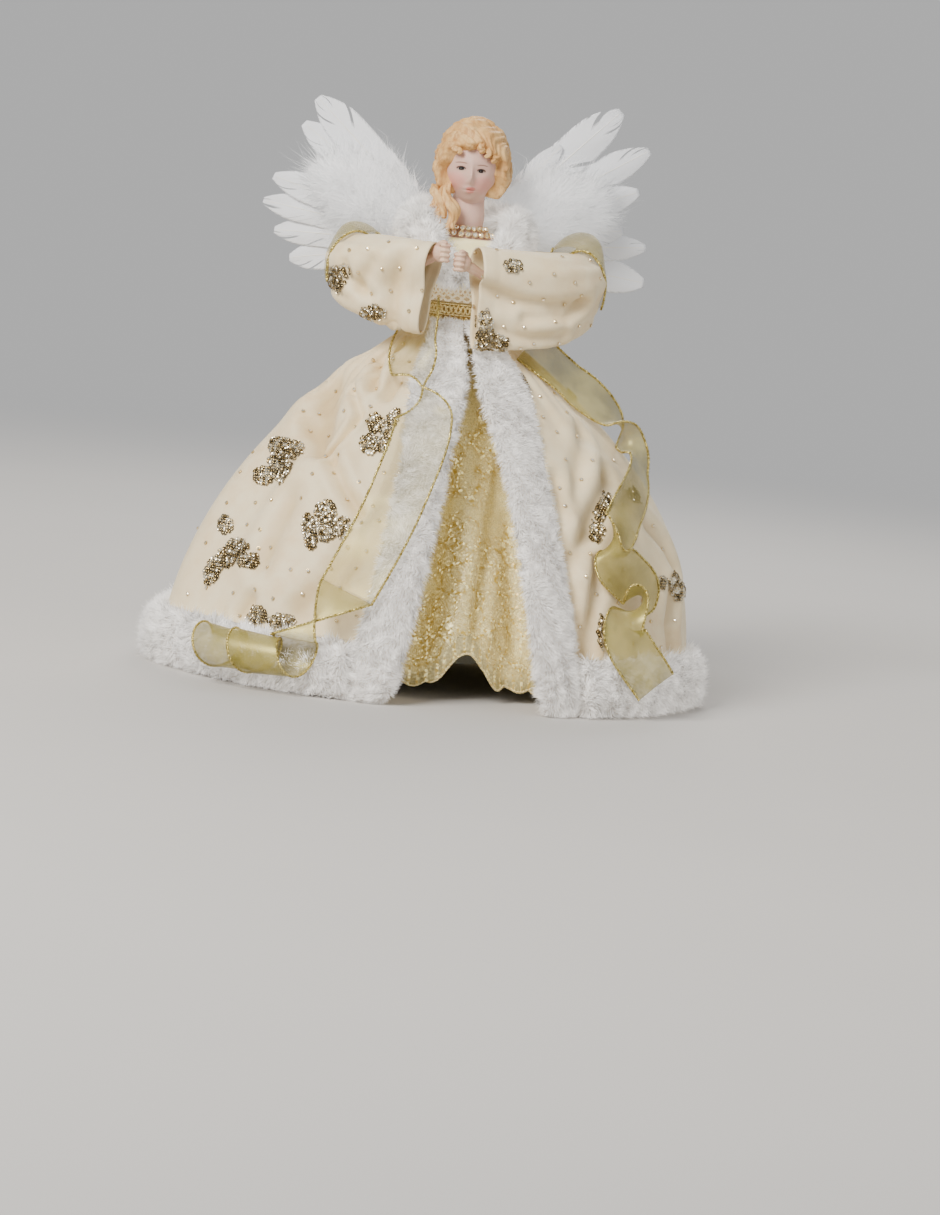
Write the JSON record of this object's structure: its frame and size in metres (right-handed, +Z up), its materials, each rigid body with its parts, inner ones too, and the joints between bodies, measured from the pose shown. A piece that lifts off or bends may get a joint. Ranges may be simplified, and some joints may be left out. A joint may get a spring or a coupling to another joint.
{
  "type": "angel tree topper",
  "caption": "Dressed angel figure on a hollow cone: a fur-trimmed satin coat over a lace gown, bell sleeves, ribbon streamers and feather wings that bend on wires.",
  "frame": {"origin": "on the floor under the middle of the outline, at the foot of the fur hem", "axes": "+Z up along the cone's axis; the figure faces -Y and her left hand is on +X"},
  "size_m": [0.38, 0.3137, 0.3969],
  "materials": {
    "clear_plastic": "translucent sheet, satin",
    "foam": "rigid foam, hidden",
    "bisque": "matte unglazed, painted features",
    "hair_paint": "matte paint on moulded waves",
    "gold_beads": "metallised beads",
    "gold_braid": "metallic thread",
    "cream_braid": "metallic thread, pale",
    "gown_satin": "satin",
    "gold_lace": "openwork with glitter",
    "coat_satin": "satin with sequins and stones",
    "white_fur": "long pile fur",
    "gold_organza": "sheer, wired metallic edges",
    "wire": "soft iron wire",
    "white_feather": "feather and down"
  },
  "bodies": {
    "figure": {"support_cone": "clear_plastic", "torso_core": "foam", "head_bust": "bisque", "moulded_hair": "hair_paint", "neckline_beads_lower": "gold_beads", "neckline_beads_upper": "gold_beads", "bodice": "gown_satin", "coat_yoke": "coat_satin", "waist_braid_gold": "gold_braid", "waist_braid_cream": "cream_braid", "underskirt": "gown_satin", "lace_overskirt": "gold_lace", "coat_panel_right": "coat_satin", "coat_panel_left": "coat_satin", "coat_panel_back": "coat_satin", "fur_front_right": "white_fur", "fur_front_left": "white_fur", "fur_hem": "white_fur", "fur_collar": "white_fur", "ribbon_swag": "gold_organza", "ribbon_streamer_right": "gold_organza", "ribbon_streamer_left": "gold_organza", "ribbon_curl_right": "gold_organza", "wing_patch": "coat_satin"},
    "right_arm": {"right_sleeve": "coat_satin", "right_arm_wire": "wire", "right_hand": "bisque", "right_ribbon_loop": "gold_organza"},
    "left_arm": {"left_sleeve": "coat_satin", "left_arm_wire": "wire", "left_hand": "bisque", "left_ribbon_loop": "gold_organza"},
    "right_wing": {"right_wing_pad": "coat_satin", "right_wing_wire": "wire", "right_feather_1": "white_feather", "right_feather_2": "white_feather", "right_feather_3": "white_feather", "right_feather_4": "white_feather", "right_feather_5": "white_feather", "right_feather_6": "white_feather", "right_feather_7": "white_feather", "right_wing_down": "white_feather"},
    "left_wing": {"left_wing_pad": "coat_satin", "left_wing_wire": "wire", "left_feather_1": "white_feather", "left_feather_2": "white_feather", "left_feather_3": "white_feather", "left_feather_4": "white_feather", "left_feather_5": "white_feather", "left_feather_6": "white_feather", "left_feather_7": "white_feather", "left_wing_down": "white_feather"}
  },
  "joints": [
    {"name": "right_arm_raise", "type": "hinge", "parent": "figure", "child": "right_arm", "pos_m": [-0.0301, 0, 0.281], "axis": [-1, 0, 0], "range_deg": [0, 15]},
    {"name": "right_wing_fold", "type": "hinge", "parent": "figure", "child": "right_wing", "pos_m": [-0.006, 0.0243, 0.288], "axis": [0, 0, -1], "range_deg": [0, 30]},
    {"name": "left_arm_raise", "type": "hinge", "parent": "figure", "child": "left_arm", "pos_m": [0.0301, 0, 0.281], "axis": [-1, 0, 0], "range_deg": [0, 15]},
    {"name": "left_wing_fold", "type": "hinge", "parent": "figure", "child": "left_wing", "pos_m": [0.006, 0.0243, 0.288], "axis": [0, 0, 1], "range_deg": [0, 30]}
  ]
}
